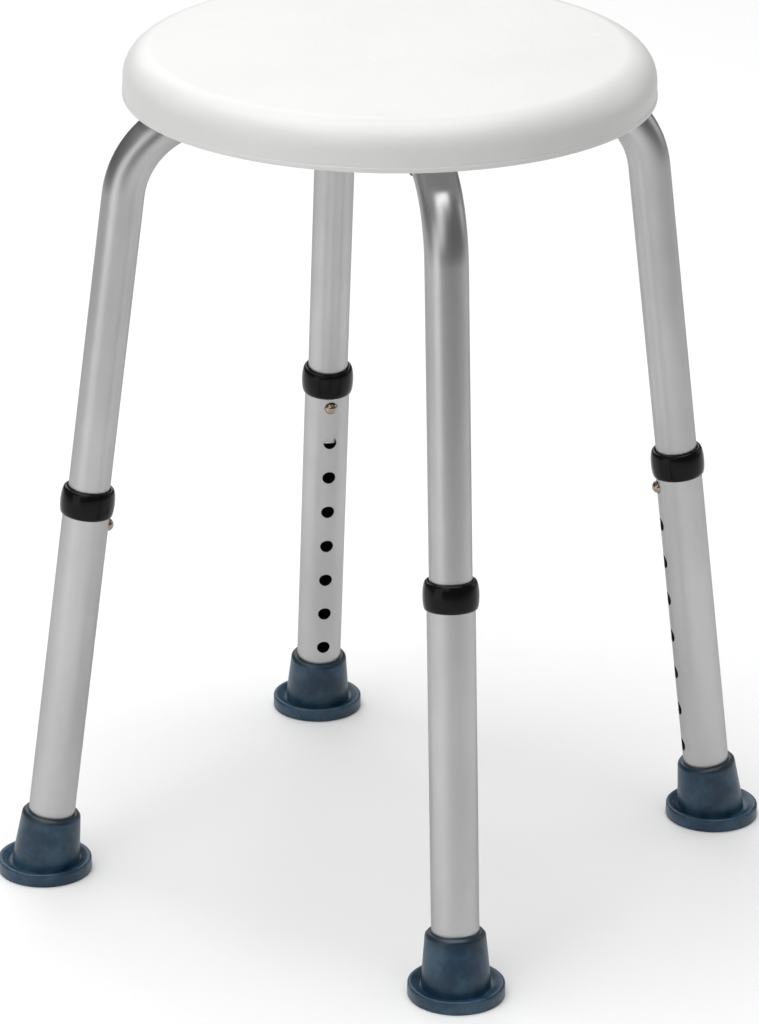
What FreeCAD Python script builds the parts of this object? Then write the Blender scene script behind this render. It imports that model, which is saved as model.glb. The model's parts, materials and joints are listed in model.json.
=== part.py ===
import FreeCAD, Part
import math
import os
from FreeCAD import Vector

# Round shower stool with four telescoping, splayed legs.
# Millimetres and degrees. +Z is up, the origin is on the floor under the seat's centre,
# and the right leg is on +X, the back leg on +Y, the left leg on -X, the front leg on -Y.
#
# Every leg is drawn once in its own leg frame: z runs up the leg's axis from the floor,
# x points outwards, and the inner face, with the holes and the button, is on -x.

# ---- Overall ----
seat_height = 519.0             # floor to the top of the seat, legs at their longest
seat_diameter = 317.5
leg_reach = 55.25               # from under the seat's edge out to where a leg's axis meets the floor
leg_splay = 7.0                 # how far each leg leans out from the vertical
leg_angles = {"right": 0.0, "back": 90.0, "left": 180.0, "front": 270.0}

# ---- Seat ----
seat_depth = 28.0               # height of the rim
seat_skin = 3.5                 # top skin and rim wall
seat_edge_radius = 18.0         # full round edge between the top and the rim
seat_lip_height = 2.5           # band round the rim's lower edge
seat_lip_step = 0.4             # how far the band stands out
seat_rib_thickness = 2.4
seat_rib_height = 8.0           # the ribs hang this far below the top skin
seat_rib_count = 8
seat_ring_radii = (22.0, 124.0)
boss_diameter = 27.0

# ---- Upper leg tubes ----
upper_tube_diameter = 25.4
upper_tube_wall = 1.2
bend_radius = 55.0              # to the tube's centre line
tube_recess = 6.0               # the tube's top lies this far above the rim's lower edge
tube_inner_end_radius = 24.0    # from the stool's centre to the tube's inner end
upper_tube_tail = 26.2          # from the button's centre down to the tube's lower end

# ---- Lower leg tubes ----
tube_clearance = 0.4            # between the upper tube and the lower tube's bore
lower_tube_wall = 1.2
hole_pitch = 25.4
hole_count = 8
hole_diameter = 8.5
button_height = 230.0           # along the leg, from the floor to the button in the top hole

# ---- Collar on top of each lower tube ----
collar_gap = 6.8                # from the button's centre up to the collar
collar_height = 17.0
collar_lip = 1.8                # the part that closes over the tube's end
collar_bulge = 2.3              # wall at the widest place
collar_edge = 1.0               # wall at the lower edge
collar_crown = 1.4              # width of the top edge
collar_crown_round = 0.8
collar_chamfer = 0.6            # at the lower edge
collar_waist = 0.47             # where the widest place lies, as a part of the height
collar_clearance = 0.3          # round the sliding upper tube

# ---- Snap button and its spring clip ----
button_clearance = 0.2          # between the button and its hole, all round
button_dome = 3.1               # height of the round head outside the lower tube
button_shoulder = 0.2           # straight part outside the lower tube
button_stem_diameter = 3.0
button_peen_diameter = 4.6
button_peen_height = 0.8
spring_thickness = 0.8
spring_width = 7.0
spring_clearance = 0.25         # to the tube's bore
spring_tail = 11.0              # below the button's centre
spring_rise = 30.0              # from the button's centre up to the bend

# ---- Foot ----
foot_diameter = 58.0
foot_flange_height = 8.4
foot_flange_radius = 1.2        # rounding of the flange's top edge
foot_sole_chamfer = 0.8
foot_flange_lip = 1.6           # width of the flange's flat top
foot_groove_depth = 2.6         # dished groove between the lip and the cone
foot_groove_width = 0.8         # level bottom of the groove, beside the cone
foot_cone_wall = 6.45           # rubber round the tube, at the cone's base
foot_rim_wall = 3.7             # rubber round the tube, just under the rim
foot_rim_bevel = 1.6
foot_height = 39.3              # along the leg, from the floor to the rim
foot_floor = 7.5                # rubber under the steel disc, along the leg
foot_disc_thickness = 1.5
foot_disc_clearance = 0.4       # between the steel disc and the foot's bore

# ---- End plugs ----
plug_shank_length = 10.0
plug_head_thickness = 1.6
plug_clearance = 0.1

# ---- Seat bolts ----
inner_bolt_inset = 21.0         # from a tube's inner end to its first bolt
outer_bolt_inset = 10.88        # from the start of the bend to its second bolt
bolt_diameter = 6.0
bolt_hole_clearance = 0.4
bolt_head_diameter = 11.0
bolt_head_height = 4.0
bolt_head_round = 1.6           # rounding of the head's outer edge
bolt_socket_width = 4.0
bolt_socket_depth = 2.4
bolt_engagement = 10.0          # length of thread in the insert
washer_diameter = 16.0
washer_thickness = 1.6          # under the tube's lowest line
washer_wing = 3.0               # how far the washer's sides reach up round the tube
insert_diameter = 9.0
insert_length = 12.0

# ---- Worked out from the sizes above ----
splay = math.radians(leg_splay)
seat_radius = seat_diameter / 2.0
foot_circle_radius = seat_radius + leg_reach
rim_bottom = seat_height - seat_depth
skin_underside = seat_height - seat_skin
upper_radius = upper_tube_diameter / 2.0
upper_bore = upper_radius - upper_tube_wall
lower_bore = upper_radius + tube_clearance
lower_radius = lower_bore + lower_tube_wall
tube_top = rim_bottom + tube_recess
tube_line = tube_top - upper_radius                                # height of the tube's level run
bend_start = (tube_line - bend_radius * (1.0 - math.sin(splay))) / math.cos(splay)
level_run_end = foot_circle_radius - bend_start * math.sin(splay) - bend_radius * math.cos(splay)
bolt_radii = (tube_inner_end_radius + inner_bolt_inset, level_run_end - outer_bolt_inset)
collar_bottom = button_height + collar_gap
collar_top = collar_bottom + collar_height
lower_tube_top = collar_top - collar_lip
lower_tube_bottom = foot_floor + foot_disc_thickness
button_radius = hole_diameter / 2.0 - button_clearance
spring_face = math.sqrt(upper_bore ** 2 - (spring_width / 2.0) ** 2) - spring_clearance
foot_cone_radius = lower_radius + foot_cone_wall
foot_rim_radius = lower_radius + foot_rim_wall

origin = Vector(0, 0, 0)
up = Vector(0, 0, 1)
same_place = 0.01               # two points closer than this are taken as one


def save(name, shape):
    shape.exportStep("parts/" + name + ".step")


def cylinder(radius, bottom, top):
    return Part.makeCylinder(radius, top - bottom, Vector(0, 0, bottom), up)


def revolve(points):
    """A closed outline of (radius, height) points, turned round the Z axis."""
    corners = [Vector(r, 0, z) for r, z in points]
    face = Part.Face(Part.makePolygon(corners + corners[:1]))
    return face.revolve(origin, up, 360)


def turned_edges(edges):
    """A closed outline of edges in the XZ plane, turned round the Z axis."""
    return Part.Face(Part.Wire(edges)).revolve(origin, up, 360)


def line(start, end):
    return Part.LineSegment(Vector(start[0], 0, start[1]), Vector(end[0], 0, end[1])).toShape()


def arc(start, middle, end):
    points = [Vector(r, 0, z) for r, z in (start, middle, end)]
    return Part.Arc(*points).toShape()


def corner_arc(centre, radius, start_angle, end_angle):
    """An arc in the XZ plane, with its angles measured from +X towards +Z."""
    angles = (start_angle, (start_angle + end_angle) / 2.0, end_angle)
    points = [(centre[0] + radius * math.cos(math.radians(a)),
               centre[1] + radius * math.sin(math.radians(a))) for a in angles]
    return arc(*points)


def tilt_to_leg(shape):
    """From the leg frame to the right-hand leg's place."""
    placed = shape.copy()
    placed.rotate(origin, Vector(0, 1, 0), -leg_splay)
    placed.translate(Vector(foot_circle_radius, 0, 0))
    return placed


def around(shape, angle):
    placed = shape.copy()
    placed.rotate(origin, up, angle)
    return placed


# ---- Seat ----
def seat_dome(inset):
    """The seat's outer form as a solid, without its lip, drawn in by the inset all over."""
    wall = seat_radius - seat_lip_step - inset
    top = seat_height - inset
    edge_round = seat_edge_radius - inset
    corner = (wall - edge_round, top - edge_round)
    return turned_edges([
        line((0, top), (corner[0], top)),
        corner_arc(corner, edge_round, 90, 0),
        line((wall, corner[1]), (wall, rim_bottom)),
        line((wall, rim_bottom), (0, rim_bottom)),
        line((0, rim_bottom), (0, top)),
    ])


def seat_lip():
    inside = seat_radius - seat_lip_step - seat_skin
    lip_top = rim_bottom + seat_lip_height
    return revolve([
        (inside, rim_bottom),
        (seat_radius, rim_bottom),
        (seat_radius, lip_top),
        (seat_radius - seat_lip_step, lip_top + seat_lip_step),
        (inside, lip_top + seat_lip_step),
    ])


def seat_ribs():
    bottom = skin_underside - seat_rib_height
    inner = seat_ring_radii[0]
    half = seat_rib_thickness / 2.0
    ribs = []
    for number in range(seat_rib_count):
        rib = Part.makeBox(seat_radius - inner, seat_rib_thickness, seat_rib_height,
                           Vector(inner, -half, bottom))
        ribs.append(around(rib, (number + 0.5) * 360.0 / seat_rib_count))
    for radius in seat_ring_radii:
        ring = cylinder(radius + half, bottom, skin_underside)
        ribs.append(ring.cut(cylinder(radius - half, bottom, skin_underside)))
    return ribs


def seat_bosses():
    """A round boss over each bolt. It is saddled on the tube and holds a threaded insert."""
    bosses = []
    for radius in bolt_radii:
        boss = cylinder(boss_diameter / 2.0, tube_line, skin_underside)
        boss.translate(Vector(radius, 0, 0))
        bosses.append(boss.cut([level_tube(), insert_hole(radius)]))
    return bosses


def level_tube():
    """The room that the tube's level run takes up under the seat, on the right-hand leg."""
    return Part.makeCylinder(upper_radius, seat_radius, Vector(0, 0, tube_line), Vector(1, 0, 0))


def insert_hole(radius):
    hole = cylinder(insert_diameter / 2.0, tube_line, tube_top + insert_length)
    hole.translate(Vector(radius, 0, 0))
    return hole


def seat():
    body = seat_dome(0).fuse(seat_lip()).cut(seat_dome(seat_skin))
    within_skin = seat_dome(seat_skin / 2.0)
    pieces = [rib.common(within_skin) for rib in seat_ribs()]
    holes = []
    for angle in leg_angles.values():
        pieces += [around(boss, angle) for boss in seat_bosses()]
        holes += [around(insert_hole(radius), angle) for radius in bolt_radii]
    return body.multiFuse(pieces).cut(holes).removeSplitter()


# ---- Upper leg ----
def upper_path():
    """The tube's centre line on the right-hand leg: up the leg, round the bend, level to the end."""
    outward = Vector(math.cos(splay), 0, math.sin(splay))
    along = Vector(-math.sin(splay), 0, math.cos(splay))
    foot = Vector(foot_circle_radius, 0, 0)
    lower_end = foot + along * (button_height - upper_tube_tail)
    start = foot + along * bend_start
    centre = start - outward * bend_radius
    middle_angle = math.radians((leg_splay + 90.0) / 2.0)
    middle = centre + Vector(math.cos(middle_angle), 0, math.sin(middle_angle)) * bend_radius
    top = centre + Vector(0, 0, bend_radius)
    inner_end = Vector(tube_inner_end_radius, 0, tube_line)
    edges = [Part.LineSegment(lower_end, start).toShape(),
             Part.Arc(start, middle, top).toShape(),
             Part.LineSegment(top, inner_end).toShape()]
    return Part.Wire(edges), lower_end, along


def swept_tube(radius):
    path, lower_end, along = upper_path()
    section = Part.Wire([Part.makeCircle(radius, lower_end, along)])
    return path.makePipeShell([section], True, False)


def button_hole(height):
    """A hole through a leg's inner wall, in the leg frame."""
    return Part.makeCylinder(hole_diameter / 2.0, lower_radius, Vector(0, 0, height), Vector(-1, 0, 0))


def bolt_hole(radius):
    hole = cylinder((bolt_diameter + bolt_hole_clearance) / 2.0, tube_line - upper_radius, tube_top)
    hole.translate(Vector(radius, 0, 0))
    return hole


def upper_leg():
    tube = swept_tube(upper_radius).cut(swept_tube(upper_bore))
    cuts = [tilt_to_leg(button_hole(button_height))]
    cuts += [bolt_hole(radius) for radius in bolt_radii]
    return tube.cut(cuts)


def end_plug():
    seat_face = Vector(tube_inner_end_radius, 0, tube_line)
    head_face = Vector(tube_inner_end_radius - plug_head_thickness, 0, tube_line)
    shank = Part.makeCylinder(upper_bore - plug_clearance, plug_shank_length, seat_face, Vector(1, 0, 0))
    head = Part.makeCylinder(upper_radius, plug_head_thickness, head_face, Vector(1, 0, 0))
    rim = [edge for edge in head.Edges if abs(edge.CenterOfMass.x - head_face.x) < same_place]
    return head.makeFillet(plug_head_thickness / 2.0, rim).fuse(shank)


# ---- Lower leg ----
def lower_leg():
    tube = cylinder(lower_radius, lower_tube_bottom, lower_tube_top)
    tube = tube.cut(cylinder(lower_bore, lower_tube_bottom, lower_tube_top))
    holes = [button_hole(button_height - hole_pitch * number) for number in range(hole_count)]
    return tube.cut(holes)


def collar():
    edge = lower_radius + collar_edge
    foot_of_bulge = (edge + collar_chamfer, collar_bottom + collar_chamfer)
    middle = (lower_radius + collar_bulge, collar_bottom + collar_waist * collar_height)
    slide = upper_radius + collar_clearance
    crown_outer = slide + collar_crown
    crown_base = collar_top - collar_crown_round
    return turned_edges([
        line((lower_radius, collar_bottom), (edge, collar_bottom)),
        line((edge, collar_bottom), foot_of_bulge),
        arc(foot_of_bulge, middle, (crown_outer + collar_crown_round, crown_base)),
        corner_arc((crown_outer, crown_base), collar_crown_round, 0, 90),
        line((crown_outer, collar_top), (slide, collar_top)),
        line((slide, collar_top), (slide, lower_tube_top)),
        line((slide, lower_tube_top), (lower_radius, lower_tube_top)),
        line((lower_radius, lower_tube_top), (lower_radius, collar_bottom)),
    ])


# ---- Snap button ----
def clip_spring():
    """A U of spring steel: the arm on -x carries the button, the other arm bears on the far wall."""
    inner_face = spring_face - spring_thickness
    bend = button_height + spring_rise
    low = button_height - spring_tail
    half = spring_width / 2.0
    bow = Part.makeCylinder(spring_face, spring_width, Vector(0, -half, bend), Vector(0, 1, 0))
    bow = bow.cut(Part.makeCylinder(inner_face, spring_width, Vector(0, -half, bend), Vector(0, 1, 0)))
    bow = bow.common(Part.makeBox(2 * spring_face, spring_width, spring_face,
                                  Vector(-spring_face, -half, bend)))
    arms = [Part.makeBox(spring_thickness, spring_width, bend - low, Vector(x, -half, low))
            for x in (-spring_face, inner_face)]
    stem_hole = Part.makeCylinder(button_stem_diameter / 2.0, spring_face, Vector(0, 0, button_height),
                                  Vector(-1, 0, 0))
    return bow.multiFuse(arms).removeSplitter().cut(stem_hole)


def snap_button():
    """Turned round its own axis and then laid along -x, outwards through the hole."""
    face = spring_face
    inner_face = spring_face - spring_thickness
    shoulder = lower_radius + button_shoulder
    tip = shoulder + button_dome
    dome_radius = (button_radius ** 2 + button_dome ** 2) / (2.0 * button_dome)
    dome_start = math.degrees(math.asin((dome_radius - button_dome) / dome_radius))
    stem = button_stem_diameter / 2.0
    peen = button_peen_diameter / 2.0
    button = turned_edges([
        line((0, inner_face - button_peen_height), (peen, inner_face - button_peen_height)),
        line((peen, inner_face - button_peen_height), (peen, inner_face)),
        line((peen, inner_face), (stem, inner_face)),
        line((stem, inner_face), (stem, face)),
        line((stem, face), (button_radius, face)),
        line((button_radius, face), (button_radius, shoulder)),
        corner_arc((0, tip - dome_radius), dome_radius, dome_start, 90),
        line((0, tip), (0, inner_face - button_peen_height)),
    ])
    button.rotate(origin, Vector(0, 1, 0), -90)
    button.translate(Vector(0, 0, button_height))
    return button


# ---- Foot ----
def foot_flange():
    """A flat round base with a dished top, standing level on the floor."""
    outer = foot_diameter / 2.0
    top = foot_flange_height
    lip_inner = outer - foot_flange_radius - foot_flange_lip
    groove = foot_cone_radius + foot_groove_width
    return turned_edges([
        line((0, 0), (outer - foot_sole_chamfer, 0)),
        line((outer - foot_sole_chamfer, 0), (outer, foot_sole_chamfer)),
        line((outer, foot_sole_chamfer), (outer, top - foot_flange_radius)),
        corner_arc((outer - foot_flange_radius, top - foot_flange_radius), foot_flange_radius, 0, 90),
        line((outer - foot_flange_radius, top), (lip_inner, top)),
        line((lip_inner, top), (groove, top - foot_groove_depth)),
        line((groove, top - foot_groove_depth), (0, top - foot_groove_depth)),
        line((0, top - foot_groove_depth), (0, 0)),
    ])


def foot_cone():
    """The socket's outside, round the leg's axis. It starts under the floor and is trimmed there."""
    return revolve([
        (0, -foot_flange_height),
        (foot_cone_radius, -foot_flange_height),
        (foot_cone_radius, foot_flange_height),
        (foot_rim_radius, foot_height - foot_rim_bevel),
        (foot_rim_radius - foot_rim_bevel, foot_height),
        (0, foot_height),
    ])


def foot():
    flange = foot_flange()
    flange.translate(Vector(foot_circle_radius, 0, 0))
    ground = Part.makeBox(4 * foot_diameter, 4 * foot_diameter, foot_height,
                          Vector(foot_circle_radius - 2 * foot_diameter, -2 * foot_diameter,
                                 foot_sole_chamfer - foot_height))
    cone = tilt_to_leg(foot_cone()).cut(ground)
    bore = tilt_to_leg(cylinder(lower_radius, foot_floor, foot_height))
    return flange.fuse(cone).removeSplitter().cut(bore)


def foot_disc():
    """A steel disc that keeps the tube's end from cutting through the rubber."""
    return cylinder(lower_radius - foot_disc_clearance, foot_floor, lower_tube_bottom)


# ---- Seat fasteners ----
def seat_bolt(radius):
    under_head = tube_line - upper_radius - washer_thickness
    head_end = under_head - bolt_head_height
    head = cylinder(bolt_head_diameter / 2.0, head_end, under_head)
    rim = [edge for edge in head.Edges if abs(edge.CenterOfMass.z - head_end) < same_place]
    head = head.makeFillet(bolt_head_round, rim)
    across_corners = bolt_socket_width / math.cos(math.radians(30))
    corner = Vector(across_corners / 2.0, 0, head_end)
    corners = [around(Part.Vertex(corner), 60 * side).Point for side in range(6)]
    socket = Part.Face(Part.makePolygon(corners + corners[:1])).extrude(Vector(0, 0, bolt_socket_depth))
    shank = cylinder(bolt_diameter / 2.0, under_head, tube_top + bolt_engagement)
    bolt = head.cut(socket).fuse(shank)
    bolt.translate(Vector(radius, 0, 0))
    return bolt


def saddle_washer(radius):
    bottom = tube_line - upper_radius - washer_thickness
    washer = cylinder(washer_diameter / 2.0, bottom, tube_line - upper_radius + washer_wing)
    washer = washer.cut(cylinder((bolt_diameter + bolt_hole_clearance) / 2.0, bottom, tube_line))
    washer.translate(Vector(radius, 0, 0))
    return washer.cut(level_tube())


def threaded_insert(radius):
    insert = cylinder(insert_diameter / 2.0, tube_top, tube_top + insert_length)
    insert = insert.cut(cylinder(bolt_diameter / 2.0, tube_top, tube_top + bolt_engagement))
    insert.translate(Vector(radius, 0, 0))
    return insert


def all_round(make):
    """One solid at every bolt place, as a group of separate solids."""
    return Part.makeCompound([around(make(radius), angle)
                              for angle in leg_angles.values() for radius in bolt_radii])


def build():
    os.makedirs("parts", exist_ok=True)
    save("seat", seat())
    save("seat_bolts", all_round(seat_bolt))
    save("saddle_washers", all_round(saddle_washer))
    save("threaded_inserts", all_round(threaded_insert))
    on_each_leg = {
        "upper_leg": upper_leg(),
        "end_plug": end_plug(),
        "clip_spring": tilt_to_leg(clip_spring()),
        "snap_button": tilt_to_leg(snap_button()),
        "lower_leg": tilt_to_leg(lower_leg()),
        "collar": tilt_to_leg(collar()),
        "foot": foot(),
        "foot_disc": tilt_to_leg(foot_disc()),
    }
    for name, shape in on_each_leg.items():
        for side, angle in leg_angles.items():
            save(name + "_" + side, around(shape, angle))


build()
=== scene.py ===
import json
import math

import bmesh
import bpy
from mathutils import Matrix, Vector


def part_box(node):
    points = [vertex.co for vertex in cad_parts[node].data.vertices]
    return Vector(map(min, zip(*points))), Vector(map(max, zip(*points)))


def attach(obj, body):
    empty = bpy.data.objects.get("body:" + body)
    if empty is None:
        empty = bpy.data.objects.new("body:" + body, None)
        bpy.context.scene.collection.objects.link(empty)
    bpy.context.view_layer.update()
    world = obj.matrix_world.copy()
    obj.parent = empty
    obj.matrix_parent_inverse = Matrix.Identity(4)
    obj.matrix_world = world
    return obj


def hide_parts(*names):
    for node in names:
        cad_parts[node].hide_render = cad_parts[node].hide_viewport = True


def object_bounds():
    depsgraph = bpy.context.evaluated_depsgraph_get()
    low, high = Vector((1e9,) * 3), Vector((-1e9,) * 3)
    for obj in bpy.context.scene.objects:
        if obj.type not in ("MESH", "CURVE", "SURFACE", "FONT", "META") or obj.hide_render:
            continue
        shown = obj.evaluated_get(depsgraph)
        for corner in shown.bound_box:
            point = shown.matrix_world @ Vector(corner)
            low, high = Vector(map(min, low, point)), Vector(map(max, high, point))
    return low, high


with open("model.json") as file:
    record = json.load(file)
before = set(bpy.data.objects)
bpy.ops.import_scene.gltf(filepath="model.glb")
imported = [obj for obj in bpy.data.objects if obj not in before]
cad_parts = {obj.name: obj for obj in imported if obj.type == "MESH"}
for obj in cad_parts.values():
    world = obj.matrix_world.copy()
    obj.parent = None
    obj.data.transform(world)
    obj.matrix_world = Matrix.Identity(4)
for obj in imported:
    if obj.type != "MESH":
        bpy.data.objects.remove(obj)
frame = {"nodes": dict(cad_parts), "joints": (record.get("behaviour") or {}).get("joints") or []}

# Round shower stool: a moulded seat on four telescoping, splayed legs.
# Shapes are given in millimetres, and finishes, floor, light and camera in metres. A leg's pieces are
# shaped once in that leg's own frame, with z up the leg, x outwards and the row of holes on -x, and
# are then copied to the four legs.

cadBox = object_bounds()
mm = 0.001
sides = ("right", "back", "left", "front")


# the places of the legs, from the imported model

def legDirection(side):
    for joint in frame["joints"]:
        if joint["name"] == "leg_slide_" + side:
            return Vector(joint["axis"]).normalized()


def soleCentre(side):
    low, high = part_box("foot_" + side)
    return Vector(((low.x + high.x) / 2, (low.y + high.y) / 2, 0))


def placeAt(origin, outwards, upwards):
    across = upwards.cross(outwards).normalized()
    turned = Matrix((across.cross(upwards), across, upwards)).transposed().to_4x4()
    turned.translation = origin
    return turned


def legPlace(side):    # z up the leaning leg
    return placeAt(soleCentre(side), soleCentre(side).normalized(), legDirection(side))


def floorPlace(side):    # z upright
    return placeAt(soleCentre(side), soleCentre(side).normalized(), Vector((0, 0, 1)))


splay = math.acos(legDirection("right").z)
footCircle = soleCentre("right").length


# modelling helpers

def deselect():
    bpy.ops.object.select_all(action="DESELECT")


def edit(piece):
    deselect()
    piece.select_set(True)
    bpy.context.view_layer.objects.active = piece
    bpy.ops.object.mode_set(mode="EDIT")
    bpy.ops.mesh.select_all(action="DESELECT")


def leaveEdit():
    bpy.ops.object.mode_set(mode="OBJECT")


def pickFaces(piece, wanted):
    bpy.ops.mesh.select_mode(type="FACE")
    shape = bmesh.from_edit_mesh(piece.data)
    for face in shape.faces:
        face.select_set(bool(wanted(face.calc_center_median(), face.normal)))
    bmesh.update_edit_mesh(piece.data)


def pickEdges(piece, wanted):
    bpy.ops.mesh.select_mode(type="EDGE")
    shape = bmesh.from_edit_mesh(piece.data)
    for edge in shape.edges:
        edge.select_set(bool(wanted(edge.verts[0].co, edge.verts[1].co)))
    bmesh.update_edit_mesh(piece.data)


def fromAxis(point):
    return math.hypot(point.x, point.y)


def added(name):    # names the primitive that was just added, and puts its place in its mesh
    piece = bpy.context.object
    piece.name = name
    bpy.ops.object.transform_apply(location=True, rotation=True, scale=True)
    return piece


def startRing(name, radius, height, count):
    deselect()
    bpy.ops.mesh.primitive_circle_add(vertices=count, radius=radius * mm, location=(0, 0, height * mm))
    piece = added(name)
    edit(piece)
    bpy.ops.mesh.select_mode(type="EDGE")
    bpy.ops.mesh.select_all(action="SELECT")
    return piece


def growRings(rings):    # extrudes the selected ring on through a list of (radius, height)
    for (radius, height), (nextRadius, nextHeight) in zip(rings, rings[1:]):
        move = {"value": (0, 0, (nextHeight - height) * mm)}
        bpy.ops.mesh.extrude_region_move(TRANSFORM_OT_translate=move)
        scale = nextRadius / radius
        bpy.ops.transform.resize(value=(scale, scale, 1), center_override=(0, 0, nextHeight * mm))


def closeSkin():
    bpy.ops.mesh.select_all(action="SELECT")
    bpy.ops.mesh.normals_make_consistent(inside=False)
    leaveEdit()


def turned(name, rings, count, hollow=False):    # hollow joins the last ring to the first
    piece = startRing(name, *rings[0], count)
    growRings(rings)
    bpy.ops.mesh.select_all(action="DESELECT")
    bpy.ops.mesh.select_non_manifold()
    if hollow:
        bpy.ops.mesh.bridge_edge_loops()
    else:
        bpy.ops.mesh.fill_holes(sides=0)
    closeSkin()
    return piece


def applyModifier(piece, kind, **settings):
    deselect()
    piece.select_set(True)
    bpy.context.view_layer.objects.active = piece
    modifier = piece.modifiers.new(kind.lower(), kind)
    for name, value in settings.items():
        setattr(modifier, name, value)
    bpy.ops.object.modifier_apply(modifier=modifier.name)


def join(piece, tool, operation):    # UNION or DIFFERENCE with another piece, which is used up
    applyModifier(piece, "BOOLEAN", object=tool, operation=operation, solver="EXACT")
    bpy.data.objects.remove(tool)


def softenEdges(piece, width, segments=2, angle=40):
    applyModifier(piece, "BEVEL", width=width * mm, segments=segments, limit_method="ANGLE",
                  angle_limit=math.radians(angle), use_clamp_overlap=True)


def smooth(piece, angle=35):
    deselect()
    piece.select_set(True)
    bpy.context.view_layer.objects.active = piece
    bpy.ops.object.shade_smooth_by_angle(angle=math.radians(angle))


def rod(name, radius, start, end, count=40):    # a plain cylinder between two points, used as a cutter
    deselect()
    start, end = Vector(start) * mm, Vector(end) * mm
    turn = (end - start).to_track_quat("Z", "Y").to_euler()
    bpy.ops.mesh.primitive_cylinder_add(vertices=count, radius=radius * mm, depth=(end - start).length,
                                        location=(start + end) / 2, rotation=turn)
    return added(name)


def repeatPiece(piece, count, step):
    applyModifier(piece, "ARRAY", count=count, use_relative_offset=False, use_constant_offset=True,
                  constant_offset_displace=Vector(step) * mm)


def markRun(piece, measure):    # keeps each point's place along its tube, for finishes that follow the tube
    run = piece.data.attributes.new("tubeRun", "FLOAT_VECTOR", "POINT")
    for point in piece.data.vertices:
        run.data[point.index].vector = measure(point.co)


def onEachLeg(master, name, place, body, node):
    made = []
    for side in sides:
        piece = master.copy()
        piece.data = master.data.copy()
        piece.name = name + side.capitalize()
        piece.data.name = piece.name
        bpy.context.scene.collection.objects.link(piece)
        piece.data.transform(place(side))
        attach(piece, body if body == "seat_frame" else body + side)
        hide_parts(node + side)
        made.append(piece)
    bpy.data.objects.remove(master)
    return made


# finishes

def newFinish(name, **values):
    finish = bpy.data.materials.new(name)
    finish.use_nodes = True
    shader = finish.node_tree.nodes["Principled BSDF"]
    for socket, value in values.items():
        shader.inputs[socket.replace("_", " ")].default_value = value
    return finish


def addNode(finish, kind, inputs=None, **settings):
    node = finish.node_tree.nodes.new(kind)
    for name, value in settings.items():
        setattr(node, name, value)
    for name, value in (inputs or {}).items():
        wire(finish, value, node.inputs[name])
    return node


def wire(finish, source, target):    # source is a socket to link, or a value to set
    if isinstance(source, bpy.types.NodeSocket):
        finish.node_tree.links.new(source, target)
    else:
        target.default_value = source


def shaderOf(finish):
    return finish.node_tree.nodes["Principled BSDF"]


def objectPlace(finish, scale=(1, 1, 1), turn=(0, 0, 0)):
    place = addNode(finish, "ShaderNodeTexCoord")
    return addNode(finish, "ShaderNodeMapping", {"Vector": place.outputs["Object"], "Scale": scale,
                                                 "Rotation": turn}).outputs["Vector"]


def tubePlace(finish, scale):
    place = addNode(finish, "ShaderNodeAttribute", attribute_name="tubeRun")
    return addNode(finish, "ShaderNodeMapping", {"Vector": place.outputs["Vector"],
                                                 "Scale": scale}).outputs["Vector"]


def noise(finish, place, scale, detail=3.0, roughness=0.55):
    return addNode(finish, "ShaderNodeTexNoise", {"Vector": place, "Scale": scale, "Detail": detail,
                                                  "Roughness": roughness}).outputs["Fac"]


def spread(finish, value, low, high, outLow=0.0, outHigh=1.0):
    return addNode(finish, "ShaderNodeMapRange", {"Value": value, "From Min": low, "From Max": high,
                                                  "To Min": outLow, "To Max": outHigh},
                   interpolation_type="SMOOTHSTEP").outputs["Result"]


def sums(finish, operation, first, second):
    return addNode(finish, "ShaderNodeMath", {0: first, 1: second}, operation=operation).outputs["Value"]


def mixColour(finish, amount, first, second):
    mix = addNode(finish, "ShaderNodeMix", data_type="RGBA")
    wire(finish, amount, mix.inputs[0])
    wire(finish, first, mix.inputs[6])
    wire(finish, second, mix.inputs[7])
    return mix.outputs[2]


def bump(finish, height, distance, under=None):
    inputs = {"Height": height, "Distance": distance}
    if under:
        inputs["Normal"] = under
    return addNode(finish, "ShaderNodeBump", inputs).outputs["Normal"]


def axisParts(finish, place):
    return addNode(finish, "ShaderNodeSeparateXYZ", {"Vector": place}).outputs


seatLook = {
    "colour": (0.69, 0.688, 0.680, 1),
    "aged": (0.64, 0.632, 0.615, 1),
    "grainSize": 620.0,         # leather cells per metre
    "grainDepth": 0.00010,
    "grainEdge": (0.1400, 0.1432),    # the grain fades out between these radii
    "grainTop": (0.0008, 0.0003),     # and between these depths below the top
    "poreSize": 1500.0,
    "poreShare": 0.45,
    "wavesSize": 38.0,                # slow waves left by the moulding
    "wavesDepth": 0.00035,
    "agedSize": 11.0,
    "agedShare": 0.35,
    "dustShare": 0.10,
    "scuffSize": 30.0,
    "scuffStretch": (1, 6, 1),
    "scuffTurn": (0, 0, 0.6),
    "roughness": 0.40,
    "scuffRoughness": 0.12,
    "grainRoughness": 0.12,
}


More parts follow.
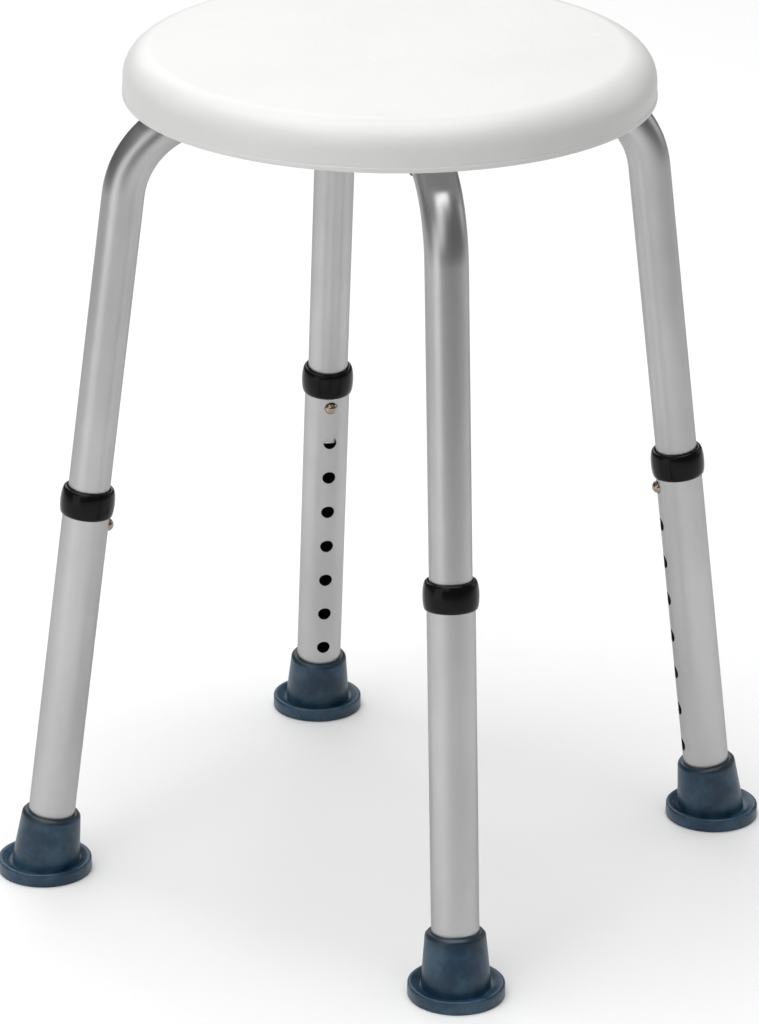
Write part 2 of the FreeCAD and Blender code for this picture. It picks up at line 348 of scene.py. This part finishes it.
def seatPlastic():
    finish = newFinish("seatPlastic", Roughness=0.5, IOR=1.5)
    shader = shaderOf(finish)
    place = objectPlace(finish)
    x, y, z = axisParts(finish, place)
    radius = sums(finish, "SQRT", sums(finish, "ADD", sums(finish, "MULTIPLY", x, x),
                                       sums(finish, "MULTIPLY", y, y)), 0.0)
    inner, outer = seatLook["grainEdge"]
    deep, shallow = seatLook["grainTop"]
    onTop = sums(finish, "MULTIPLY", spread(finish, radius, inner, outer, 1, 0),
                 spread(finish, z, cadBox[1].z - deep, cadBox[1].z - shallow))
    cells = addNode(finish, "ShaderNodeTexVoronoi", {"Vector": place, "Scale": seatLook["grainSize"]},
                    feature="SMOOTH_F1").outputs["Distance"]
    pores = noise(finish, place, seatLook["poreSize"], 2.0)
    grain = sums(finish, "ADD", cells, sums(finish, "MULTIPLY", pores, seatLook["poreShare"]))
    grained = bump(finish, sums(finish, "MULTIPLY", grain, onTop), seatLook["grainDepth"])
    waves = noise(finish, place, seatLook["wavesSize"], 2.0)
    moulded = bump(finish, waves, seatLook["wavesDepth"], grained)
    wire(finish, moulded, shader.inputs["Normal"])
    cloud = spread(finish, noise(finish, place, seatLook["agedSize"], 4.0), 0.45, 0.75)
    colour = mixColour(finish, sums(finish, "MULTIPLY", cloud, seatLook["agedShare"]),
                       seatLook["colour"], seatLook["aged"])
    hollows = sums(finish, "MULTIPLY", spread(finish, cells, 0.25, 0.75, 1, 0), onTop)
    dusty = mixColour(finish, sums(finish, "MULTIPLY", hollows, seatLook["dustShare"]),
                      colour, seatLook["aged"])
    wire(finish, dusty, shader.inputs["Base Color"])
    scuffPlace = objectPlace(finish, seatLook["scuffStretch"], seatLook["scuffTurn"])
    scuffs = spread(finish, noise(finish, scuffPlace, seatLook["scuffSize"], 5.0), 0.5, 0.8)
    rough = sums(finish, "ADD", seatLook["roughness"],
                 sums(finish, "MULTIPLY", scuffs, seatLook["scuffRoughness"]))
    wire(finish, sums(finish, "ADD", rough, sums(finish, "MULTIPLY", onTop, seatLook["grainRoughness"])),
         shader.inputs["Roughness"])
    return finish


tubeLook = {
    "upper": {"colour": (0.50, 0.50, 0.505, 1), "roughness": 0.33},
    "lower": {"colour": (0.53, 0.53, 0.53, 1), "roughness": 0.38},
    "edge": (0.65, 0.65, 0.65, 1),    # dulls the glancing reflection
    "drawLines": 1500.0,        # fine lines along the tube, per metre round it
    "lineStretch": (1, 1, 0.012),
    "lineDepth": 0.000012,
    "satinSize": 2600.0,
    "satinDepth": 0.000008,
    "cloudSize": 26.0,
    "cloudStretch": (1, 1, 0.35),
    "rubSize": 190.0,
    "rubStretch": (1, 1, 0.10),
    "darkShare": 0.86,          # the darker patches, as a share of the colour
}


def anodised(name, colour, roughness):
    finish = newFinish(name, Metallic=1.0, Anisotropic=0.25, Specular_Tint=tubeLook["edge"])
    shader = shaderOf(finish)
    lines = noise(finish, tubePlace(finish, tubeLook["lineStretch"]), tubeLook["drawLines"], 3.0)
    satin = noise(finish, tubePlace(finish, (1, 1, 1)), tubeLook["satinSize"], 2.0)
    cloud = noise(finish, tubePlace(finish, tubeLook["cloudStretch"]), tubeLook["cloudSize"], 4.0)
    rubs = noise(finish, tubePlace(finish, tubeLook["rubStretch"]), tubeLook["rubSize"], 5.0, 0.7)
    rubbed = spread(finish, rubs, 0.62, 0.80)
    dark = tuple(channel * tubeLook["darkShare"] for channel in colour[:3]) + (1,)
    tone = mixColour(finish, spread(finish, cloud, 0.30, 0.75), colour, dark)
    wire(finish, mixColour(finish, sums(finish, "MULTIPLY", lines, 0.20), tone, dark),
         shader.inputs["Base Color"])
    rough = sums(finish, "ADD", roughness - 0.05, sums(finish, "MULTIPLY", cloud, 0.10))
    rough = sums(finish, "ADD", rough, sums(finish, "MULTIPLY", lines, 0.05))
    wire(finish, sums(finish, "SUBTRACT", rough, sums(finish, "MULTIPLY", rubbed, 0.08)),
         shader.inputs["Roughness"])
    drawn = bump(finish, lines, tubeLook["lineDepth"])
    wire(finish, bump(finish, satin, tubeLook["satinDepth"], drawn), shader.inputs["Normal"])
    return finish


def paintedShadeBore():    # painted shade: near-black colour on the bores and the holes' walls, standing in for the shade inside the tubes
    finish = newFinish("paintedShadeBore", Metallic=0.6, Roughness=0.75)
    # the noise mottles the painted shade between two near-black colours
    grimeAndShade = noise(finish, objectPlace(finish), 300.0, 4.0)
    wire(finish, mixColour(finish, grimeAndShade, (0.030, 0.029, 0.028, 1), (0.085, 0.083, 0.080, 1)),
         shaderOf(finish).inputs["Base Color"])
    return finish


rubberLook = {
    "colour": (0.004, 0.027, 0.058, 1),
    "bloom": (0.040, 0.092, 0.140, 1),    # the dry, paler skin that worn rubber gets
    "grimeAndShade": (0.012, 0.017, 0.021, 1),
    "mouth": (0.0345, 0.0385),            # grime and painted shade round the mouth, above these heights
    "grainDepth": 0.00006,
}


def footRubber():
    finish = newFinish("footRubber", Roughness=0.5, IOR=1.45)
    shader = shaderOf(finish)
    place = objectPlace(finish)
    cloud = noise(finish, place, 55.0, 5.0, 0.6)
    speckle = noise(finish, place, 900.0, 3.0)
    z = axisParts(finish, place)[2]
    nearFloor = spread(finish, z, 0.0, 0.012, 1, 0)
    bloom = sums(finish, "MULTIPLY", spread(finish, cloud, 0.36, 0.66), 0.70)
    bloom = sums(finish, "ADD", bloom, sums(finish, "MULTIPLY", nearFloor,
                                            spread(finish, speckle, 0.42, 0.70, 0, 0.35)))
    rubber = mixColour(finish, bloom, rubberLook["colour"], rubberLook["bloom"])
    # grime and painted shade: darker round the socket's mouth, where the tube goes in
    atMouth = sums(finish, "MULTIPLY", spread(finish, z, *rubberLook["mouth"]),
                   spread(finish, cloud, 0.30, 0.60, 0.35, 0.85))
    wire(finish, mixColour(finish, atMouth, rubber, rubberLook["grimeAndShade"]), shader.inputs["Base Color"])
    wire(finish, sums(finish, "ADD", 0.24, sums(finish, "MULTIPLY", cloud, 0.22)),
         shader.inputs["Roughness"])
    fine = bump(finish, speckle, rubberLook["grainDepth"])
    wire(finish, bump(finish, cloud, 0.0004, fine), shader.inputs["Normal"])
    return finish


def collarGloss():
    finish = newFinish("collarGloss", Base_Color=(0.003, 0.003, 0.004, 1), IOR=1.25)
    shader = shaderOf(finish)
    place = objectPlace(finish)
    scratches = spread(finish, noise(finish, objectPlace(finish, (1, 1, 9)), 240.0, 6.0, 0.7), 0.55, 0.75)
    wire(finish, sums(finish, "ADD", 0.20, sums(finish, "MULTIPLY", scratches, 0.16)),
         shader.inputs["Roughness"])
    wire(finish, bump(finish, noise(finish, place, 220.0, 3.0), 0.00003), shader.inputs["Normal"])
    return finish


def blackPlastic():
    finish = newFinish("blackPlastic", Base_Color=(0.016, 0.016, 0.018, 1))
    shader = shaderOf(finish)
    grain = noise(finish, objectPlace(finish), 1200.0, 3.0)
    wire(finish, sums(finish, "ADD", 0.42, sums(finish, "MULTIPLY", grain, 0.15)),
         shader.inputs["Roughness"])
    wire(finish, bump(finish, grain, 0.00004), shader.inputs["Normal"])
    return finish


def workedMetal(name, colour, roughness, grainScale, stretch):
    finish = newFinish(name, Metallic=1.0)
    shader = shaderOf(finish)
    grain = noise(finish, objectPlace(finish, stretch), grainScale, 4.0)
    stain = spread(finish, noise(finish, objectPlace(finish), 130.0, 5.0), 0.45, 0.75)
    dull = tuple(channel * 0.72 for channel in colour[:3]) + (1,)
    wire(finish, mixColour(finish, sums(finish, "MULTIPLY", stain, 0.6), colour, dull),
         shader.inputs["Base Color"])
    wire(finish, sums(finish, "ADD", roughness, sums(finish, "MULTIPLY", grain, 0.12)),
         shader.inputs["Roughness"])
    wire(finish, bump(finish, grain, 0.00001), shader.inputs["Normal"])
    return finish


finishes = {
    "seat": seatPlastic(),
    "upperTube": anodised("upperTubeSatin", **tubeLook["upper"]),
    "lowerTube": anodised("lowerTubeSatin", **tubeLook["lower"]),
    # the bores' finish is painted shade
    "inside": paintedShadeBore(),
    "rubber": footRubber(),
    "gloss": collarGloss(),
    "black": blackPlastic(),
    "nickel": workedMetal("buttonNickel", (0.38, 0.31, 0.25, 1), 0.08, 700.0, (1, 1, 1)),
    "spring": workedMetal("springSteel", (0.20, 0.21, 0.24, 1), 0.30, 900.0, (1, 1, 0.1)),
    "zinc": workedMetal("zincPlate", (0.58, 0.58, 0.57, 1), 0.28, 1100.0, (1, 1, 0.2)),
    "brass": workedMetal("insertBrass", (0.70, 0.52, 0.24, 1), 0.24, 1000.0, (1, 1, 6)),
}
print("finishes made:", len(finishes))


def dress(piece, *names):
    piece.data.materials.clear()
    for name in names:
        piece.data.materials.append(finishes[name])


def dressBore(piece, inside):    # the second finish goes on the faces that the test picks
    for face in piece.data.polygons:
        face.material_index = 1 if inside(face) else 0


# lower leg tubes

tubeSides = 96
tubeSmooth = 20         # degrees; a wider angle smears the shading between the holes
drillStart = 4          # a tube's drill runs from here, off its axis,
drillPast = 6           # to here, past its wall

lowerTubeShape = {
    "radius": 14.3,
    "wall": 1.2,
    "bottom": 9.0,
    "top": 252.0,
    "holeRadius": 4.25,
    "topHole": 230.0,
    "holePitch": 25.4,
    "holeCount": 8,
    "holeEdge": 0.28,       # the broken edge round each hole
}


def makeLowerTubes():
    size = lowerTubeShape
    outer, bore = size["radius"], size["radius"] - size["wall"]
    tube = turned("lowerTube", [(outer, size["bottom"]), (outer, size["top"]),
                                (bore, size["top"]), (bore, size["bottom"])], tubeSides, hollow=True)
    drill = rod("drill", size["holeRadius"], (-drillStart, 0, size["topHole"]),
                (-outer - drillPast, 0, size["topHole"]))
    repeatPiece(drill, size["holeCount"], (0, 0, -size["holePitch"]))
    join(tube, drill, "DIFFERENCE")
    softenEdges(tube, size["holeEdge"])
    smooth(tube, tubeSmooth)
    dress(tube, "lowerTube", "inside")
    limit = (outer - size["holeEdge"] - 0.1) * mm    # the holes' own walls get the same painted shade as the bore
    dressBore(tube, lambda face: fromAxis(face.center) < limit)
    markRun(tube, lambda point: point)
    return onEachLeg(tube, "lowerTube", legPlace, "leg_", "lower_leg_")


# upper leg tubes, each bent to run level under the seat

upperTubeShape = {
    "radius": 12.7,
    "wall": 1.2,
    "bendRadius": 55.0,
    "bendSteps": 22,
    "bottom": 203.8,
    "innerEnd": 24.0,       # from the stool's centre
    "buttonHole": 4.25,
    "button": 230.0,
    "boltRadii": (45.0, 95.0),
    "boltHole": 3.2,
    "boltDrillPast": 5,
    "holeEdge": 0.25,
}


def makeUpperTubes():
    size = upperTubeShape
    bend = size["bendRadius"]
    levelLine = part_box("upper_leg_right")[1].z / mm - size["radius"]
    bendStart = (levelLine - bend * (1 - math.sin(splay))) / math.cos(splay)
    bendEnd = footCircle / mm - math.sin(splay) * bendStart - math.cos(splay) * bend
    turn = math.pi / 2 - splay
    level = Vector((-math.cos(splay), 0, math.sin(splay)))    # the level run's direction in the leg's frame
    centre = Vector((-bend, 0, bendStart))
    tube = startRing("upperTube", size["radius"], size["bottom"], tubeSides)
    growRings([(size["radius"], size["bottom"]), (size["radius"], bendStart)])
    bpy.ops.mesh.spin(steps=size["bendSteps"], angle=-turn, center=centre * mm, axis=(0, -1, 0))
    run = level * (bendEnd - size["innerEnd"]) * mm
    bpy.ops.mesh.extrude_region_move(TRANSFORM_OT_translate={"value": run})
    bpy.ops.mesh.select_all(action="SELECT")
    bpy.ops.mesh.remove_doubles(threshold=0.00001)
    closeSkin()
    applyModifier(tube, "SOLIDIFY", thickness=size["wall"] * mm, offset=-1, use_even_offset=True)
    drill = rod("drill", size["buttonHole"], (-drillStart, 0, size["button"]),
                (-size["radius"] - drillPast, 0, size["button"]))
    join(tube, drill, "DIFFERENCE")
    toLeg = legPlace("right").inverted()
    reach = size["radius"] + size["boltDrillPast"]
    for radius in size["boltRadii"]:
        low = toLeg @ (Vector((radius, 0, levelLine - reach)) * mm)
        high = toLeg @ (Vector((radius, 0, levelLine + reach)) * mm)
        join(tube, rod("drill", size["boltHole"], low / mm, high / mm), "DIFFERENCE")
    softenEdges(tube, size["holeEdge"])
    smooth(tube, tubeSmooth)
    arcLength = turn * bend

    def alongTube(point):
        fromCentre = point / mm - centre
        angle = math.atan2(fromCentre.z, fromCentre.x)
        if fromCentre.z < 0:
            return point
        if angle < turn:
            out = math.hypot(fromCentre.x, fromCentre.z) - bend
            return Vector((out, point.y / mm, bendStart + angle * bend)) * mm
        outwards = Vector((math.sin(splay), 0, math.cos(splay)))
        return Vector((fromCentre.dot(outwards) - bend, point.y / mm,
                       bendStart + arcLength + fromCentre.dot(level))) * mm

    markRun(tube, alongTube)
    # the bore's faces get the painted-shade finish
    dress(tube, "upperTube", "inside")
    limit = (size["radius"] - size["wall"] + 0.1) * mm
    places = tube.data.attributes["tubeRun"].data

    def inBore(face):
        return all(fromAxis(places[corner].vector) < limit for corner in face.vertices)

    dressBore(tube, inBore)
    return onEachLeg(tube, "upperTube", legPlace, "seat_frame", "upper_leg_")


# collars that close the gap between the two tubes

collarShape = {
    "bottom": 236.8,
    "smooth": 50,
    "rings": [(14.3, 0.3), (14.6, 0.0), (15.2, 0.0), (15.7, 0.3), (16.15, 1.8), (16.45, 4.4), (16.6, 7.6),
              (16.5, 10.7), (16.2, 13.3), (15.8, 15.2), (15.35, 16.3), (14.9, 16.8), (14.4, 17.0),
              (13.3, 17.0), (13.0, 16.7), (13.0, 15.2), (14.3, 15.2)],
}


def makeCollars():
    base = collarShape["bottom"]
    rings = [(radius, base + height) for radius, height in collarShape["rings"]]
    collar = turned("collar", rings, 96, hollow=True)
    smooth(collar, collarShape["smooth"])
    dress(collar, "gloss")
    return onEachLeg(collar, "collar", legPlace, "leg_", "collar_")


# snap buttons

buttonShape = {
    "radius": 4.05,
    "height": 230.0,
    "root": 10.70,          # from the tube's axis to the spring's face
    "shoulder": 14.5,
    "dome": 3.1,
    "domeRings": 9,
    "stem": 1.5,
    "stemEnd": 9.90,
    "peen": 2.3,
    "peenHeight": 0.8,
    "sides": 40,
    "smooth": 40,
}


def makeButtons():
    size = buttonShape
    sphere = (size["radius"] ** 2 + size["dome"] ** 2) / (2 * size["dome"])
    tip = size["shoulder"] + size["dome"]
    rings = [(size["peen"], size["stemEnd"] - size["peenHeight"]), (size["peen"], size["stemEnd"]),
             (size["stem"], size["stemEnd"]), (size["stem"], size["root"]),
             (size["radius"], size["root"]), (size["radius"], size["shoulder"])]
    start = math.asin((sphere - size["dome"]) / sphere)
    for step in range(1, size["domeRings"]):
        angle = start + (math.pi / 2 - start) * step / size["domeRings"]
        rings.append((sphere * math.cos(angle), tip - sphere + sphere * math.sin(angle)))
    button = turned("snapButton", rings, size["sides"])
    smooth(button, size["smooth"])
    dress(button, "nickel")
    lay = Matrix.Translation((0, 0, size["height"] * mm)) @ Matrix.Rotation(-math.pi / 2, 4, "Y")
    button.data.transform(lay)
    return onEachLeg(button, "snapButton", legPlace, "button_", "snap_button_")


# rubber feet: a level, dished flange with a leaning socket on it

footShape = {
    "flange": [(6.0, 1.0), (10.0, 1.0), (10.6, 0.0), (13.4, 0.0), (14.0, 1.0), (18.0, 1.0), (18.6, 0.0),
               (21.4, 0.0), (22.0, 1.0), (25.2, 1.0), (25.8, 0.0), (28.2, 0.0), (28.75, 0.25), (29.0, 0.8),
               (29.0, 7.1), (28.85, 7.8), (28.4, 8.25), (27.8, 8.4), (26.9, 8.35), (25.9, 7.95), (24.3, 7.1),
               (23.0, 6.35), (22.2, 5.95), (20.6, 5.8)],
    "socket": [(20.75, -2.0), (20.75, 8.4), (20.0, 17.0), (19.2, 26.0), (18.2, 36.6), (18.0, 37.6),
               (17.6, 38.0), (16.8, 39.0), (16.3, 39.3), (15.5, 39.3)],
    "socketStart": 2.5,     # the leaning socket is trimmed level here, inside the flange
    "bore": 14.3,
    "boreBottom": 7.5,
    "boreTop": 49.3,        # clear of the socket's mouth
    "edge": 0.3,
    "edgeSegments": 3,
    "edgeAngle": 38,
    "smooth": 40,
}


def makeFeet():
    flange = turned("foot", footShape["flange"], 96)
    socket = turned("socket", footShape["socket"], 96)
    bore = rod("bore", footShape["bore"], (0, 0, footShape["boreBottom"]), (0, 0, footShape["boreTop"]), 96)
    for leaning in (socket, bore):
        leaning.data.transform(Matrix.Rotation(-splay, 4, "Y"))
    edit(socket)
    bpy.ops.mesh.select_all(action="SELECT")
    bpy.ops.mesh.bisect(plane_co=(0, 0, footShape["socketStart"] * mm), plane_no=(0, 0, 1),
                        use_fill=True, clear_inner=True)
    closeSkin()
    join(flange, socket, "UNION")
    join(flange, bore, "DIFFERENCE")
    softenEdges(flange, footShape["edge"], footShape["edgeSegments"], footShape["edgeAngle"])
    smooth(flange, footShape["smooth"])
    dress(flange, "rubber")
    return onEachLeg(flange, "foot", floorPlace, "leg_", "foot_")


# the seat: a shallow moulded dish, turned upside down, with ribs and bosses under it

seatShape = {
    "radius": 158.35,
    "depth": 28.0,
    "lipStep": 0.4,
    "lipHeight": 2.5,
    "skin": 3.5,
    "edge": 18.0,
    "edgeSegments": 14,
    "hollowSegments": 9,    # of the same edge, seen from inside
    "lipBevel": 0.3,
    "sides": 192,
    "ribCount": 8,
    "ribThickness": 2.4,
    "ribHeight": 8.0,
    "ribReach": 150.0,      # the ribs end inside the round edge's skin
    "ribSink": 0.3,         # how far the ribs run up into the skin
    "ringRadii": (22.0, 124.0),
    "bossRadii": (45.0, 95.0),
    "boss": 13.5,
    "insert": 4.5,
    "insertTop": 509.0,
    "saddleGap": 0.02,      # between a boss's saddle and its tube
    "saddleRun": (10, 140),
    "smooth": 32,
}


def seatBody(bottom, top):
    size = seatShape
    radius = size["radius"] * mm
    deselect()
    bpy.ops.mesh.primitive_cylinder_add(vertices=size["sides"], radius=radius, depth=(top - bottom) * mm,
                                        location=(0, 0, (top + bottom) / 2 * mm))
    seat = added("seat")
    edit(seat)
    pickEdges(seat, lambda a, b: min(a.z, b.z) > (top - 0.1) * mm)
    bpy.ops.mesh.bevel(offset=size["edge"] * mm, segments=size["edgeSegments"], profile=0.5, affect="EDGES")
    pickFaces(seat, lambda middle, normal: normal.z < -0.9)
    bpy.ops.mesh.inset(thickness=size["skin"] * mm)
    hollow = {"value": (0, 0, (top - bottom - size["skin"]) * mm)}
    bpy.ops.mesh.extrude_region_move(TRANSFORM_OT_translate=hollow)
    innerRadius = (size["radius"] - size["skin"] + 0.2) * mm
    skinHeight = (top - size["skin"]) * mm
    pickEdges(seat, lambda a, b: abs(a.z - skinHeight) < 0.01 * mm and abs(b.z - skinHeight) < 0.01 * mm
              and fromAxis(a) < innerRadius and fromAxis(b) < innerRadius)
    bpy.ops.mesh.bevel(offset=(size["edge"] - size["skin"]) * mm, segments=size["hollowSegments"],
                       profile=0.5, affect="EDGES")
    lipTop = (bottom + size["lipHeight"]) * mm
    for height in (lipTop, lipTop + size["lipStep"] * mm):
        pickFaces(seat, lambda middle, normal: fromAxis(middle) > innerRadius and abs(normal.z) < 0.1)
        bpy.ops.mesh.bisect(plane_co=(0, 0, height), plane_no=(0, 0, 1))
    pickEdges(seat, lambda a, b: max(a.z, b.z) < lipTop + 0.01 * mm
              and min(fromAxis(a), fromAxis(b)) > innerRadius)
    wider = 1 + size["lipStep"] / size["radius"]
    bpy.ops.transform.resize(value=(wider, wider, 1), center_override=(0, 0, 0))
    pickEdges(seat, lambda a, b: abs(a.z - b.z) < 0.001 * mm and max(a.z, b.z) < lipTop + 0.01 * mm
              and min(fromAxis(a), fromAxis(b)) > innerRadius)
    bpy.ops.mesh.bevel(offset=size["lipBevel"] * mm, segments=2, profile=0.5, affect="EDGES")
    closeSkin()
    return seat


def seatRibs(top):
    size = seatShape
    bottom = top - size["skin"] - size["ribHeight"]
    high = top - size["skin"] + size["ribSink"]
    parts = []
    for number in range(size["ribCount"] // 2):    # each bar makes two opposite ribs
        deselect()
        bpy.ops.mesh.primitive_cube_add(size=1, location=(0, 0, (bottom + high) / 2 * mm),
                                        rotation=(0, 0, (number + 0.5) * 2 * math.pi / size["ribCount"]),
                                        scale=(2 * size["ribReach"] * mm, size["ribThickness"] * mm,
                                               (high - bottom) * mm))
        parts.append(added("rib"))
    for radius in size["ringRadii"]:
        half = size["ribThickness"] / 2
        parts.append(turned("ring", [(radius - half, bottom), (radius + half, bottom),
                                     (radius + half, high), (radius - half, high)], 96, hollow=True))
    return parts


def makeSeat():
    size = seatShape
    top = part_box("seat")[1].z / mm
    bottom = top - size["depth"]
    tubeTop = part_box("upper_leg_right")[1].z / mm
    tubeLine = tubeTop - upperTubeShape["radius"]
    seat = seatBody(bottom, top)
    ribs = seatRibs(top)
    core = rod("core", size["ringRadii"][0], (0, 0, bottom), (0, 0, top - size["skin"]), 96)
    for rib in ribs[:size["ribCount"] // 2]:
        join(rib, core.copy(), "DIFFERENCE")
    bpy.data.objects.remove(core)
    for rib in ribs:
        join(seat, rib, "UNION")
    saddle = upperTubeShape["radius"] + size["saddleGap"]
    near, far = size["saddleRun"]
    for number in range(len(sides)):
        angle = number * math.pi / 2
        out = Vector((math.cos(angle), math.sin(angle), 0))
        bosses = [rod("boss", size["boss"], out * radius + Vector((0, 0, tubeLine)),
                      out * radius + Vector((0, 0, top - size["skin"] / 2)), 64)
                  for radius in size["bossRadii"]]
        for boss in bosses:
            join(boss, rod("saddle", saddle, out * near + Vector((0, 0, tubeLine)),
                           out * far + Vector((0, 0, tubeLine)), tubeSides), "DIFFERENCE")
            join(seat, boss, "UNION")
        for radius in size["bossRadii"]:
            hole = rod("hole", size["insert"], out * radius + Vector((0, 0, tubeLine)),
                       out * radius + Vector((0, 0, size["insertTop"])), 40)
            join(seat, hole, "DIFFERENCE")
    smooth(seat, size["smooth"])
    dress(seat, "seat")
    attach(seat, "seat_frame")
    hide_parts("seat")
    return seat


print("lower tubes:", len(makeLowerTubes()))
print("upper tubes:", len(makeUpperTubes()))
print("collars:", len(makeCollars()))
print("snap buttons:", len(makeButtons()))
print("feet:", len(makeFeet()))
seatPiece = makeSeat()
print("seat faces:", len(seatPiece.data.polygons))

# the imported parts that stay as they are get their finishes

keptParts = {"seat_bolts": "zinc", "saddle_washers": "black", "threaded_inserts": "brass"}
for side in sides:
    keptParts["end_plug_" + side] = "black"
    keptParts["clip_spring_" + side] = "spring"
    keptParts["foot_disc_" + side] = "zinc"
for node, finishName in keptParts.items():
    dress(frame["nodes"][node], finishName)

# floor, light and camera

studio = {
    "floorSize": 60.0,
    "floorColour": (0.93, 0.93, 0.93, 1),
    "floorGrain": 500.0,
    "floorFleck": 0.985,    # the flecks, as a share of the floor's colour
    "lampAim": (0, 0, 0.25),
    "world": 0.17,
    "lights": [    # name, place, size, watts
        ("overhead", (-0.4, 0.0, 4.2), 4.4, 200.0),
        ("backdropBox", (0.0, 3.6, 2.6), 2.6, 36.0),
        ("leftBox", (-1.5, -2.0, 2.0), 1.8, 11.0),
        ("lowLeftBox", (-2.0, -1.1, 0.6), 1.3, 6.0),
        ("rightBox", (2.3, 0.6, 1.0), 1.2, 4.0),
    ],
}


def makeStudio():
    deselect()
    bpy.ops.mesh.primitive_plane_add(size=studio["floorSize"])
    floor = added("floor")
    paper = newFinish("floorPaper", Roughness=0.85)
    grain = noise(paper, objectPlace(paper), studio["floorGrain"], 3.0)
    fleck = tuple(channel * studio["floorFleck"] for channel in studio["floorColour"][:3]) + (1,)
    wire(paper, mixColour(paper, grain, studio["floorColour"], fleck),
         shaderOf(paper).inputs["Base Color"])
    floor.data.materials.append(paper)
    world = bpy.data.worlds.new("studioWorld")
    world.use_nodes = True
    background = world.node_tree.nodes["Background"]
    background.inputs["Color"].default_value = (1, 1, 1, 1)
    background.inputs["Strength"].default_value = studio["world"]
    bpy.context.scene.world = world
    for name, place, size, watts in studio["lights"]:
        light = bpy.data.lights.new(name, "AREA")
        light.shape = "SQUARE"
        light.size = size
        light.energy = watts
        lamp = bpy.data.objects.new(name, light)
        lamp.location = place
        fromAim = Vector(place) - Vector(studio["lampAim"])
        lamp.rotation_euler = fromAim.to_track_quat("Z", "Y").to_euler()
        lamp.visible_camera = False
        bpy.context.scene.collection.objects.link(lamp)


cameraView = {
    "azimuth": -11.908,
    "elevation": 21.925,
    "roll": 0.535,
    "distance": 3.1,
    "aimSideways": -0.00366,
    "aimHeight": 0.21205,
    "lens": 177.59,
    "shift": (0.0, 0.0150),
}


def makeCamera():
    view = cameraView
    azimuth, elevation = math.radians(view["azimuth"]), math.radians(view["elevation"])
    roll = math.radians(view["roll"])
    back = Vector((math.sin(azimuth) * math.cos(elevation), -math.cos(azimuth) * math.cos(elevation),
                   math.sin(elevation)))
    right = Vector((math.cos(azimuth), math.sin(azimuth), 0))
    above = back.cross(right)
    aim = Vector((0, 0, view["aimHeight"])) + right * view["aimSideways"]
    rolledRight = right * math.cos(roll) + above * math.sin(roll)
    rolledUp = above * math.cos(roll) - right * math.sin(roll)
    turn = Matrix((rolledRight, rolledUp, back)).transposed().to_4x4()
    turn.translation = aim + back * view["distance"]
    lens = bpy.data.cameras.new("camera")
    lens.lens = view["lens"]
    lens.sensor_width = 36.0
    lens.shift_x, lens.shift_y = view["shift"]
    camera = bpy.data.objects.new("camera", lens)
    camera.matrix_world = turn
    bpy.context.scene.collection.objects.link(camera)
    bpy.context.scene.camera = camera


makeStudio()
makeCamera()
bpy.context.scene.view_settings.view_transform = "Standard"
print("studio and camera ready")
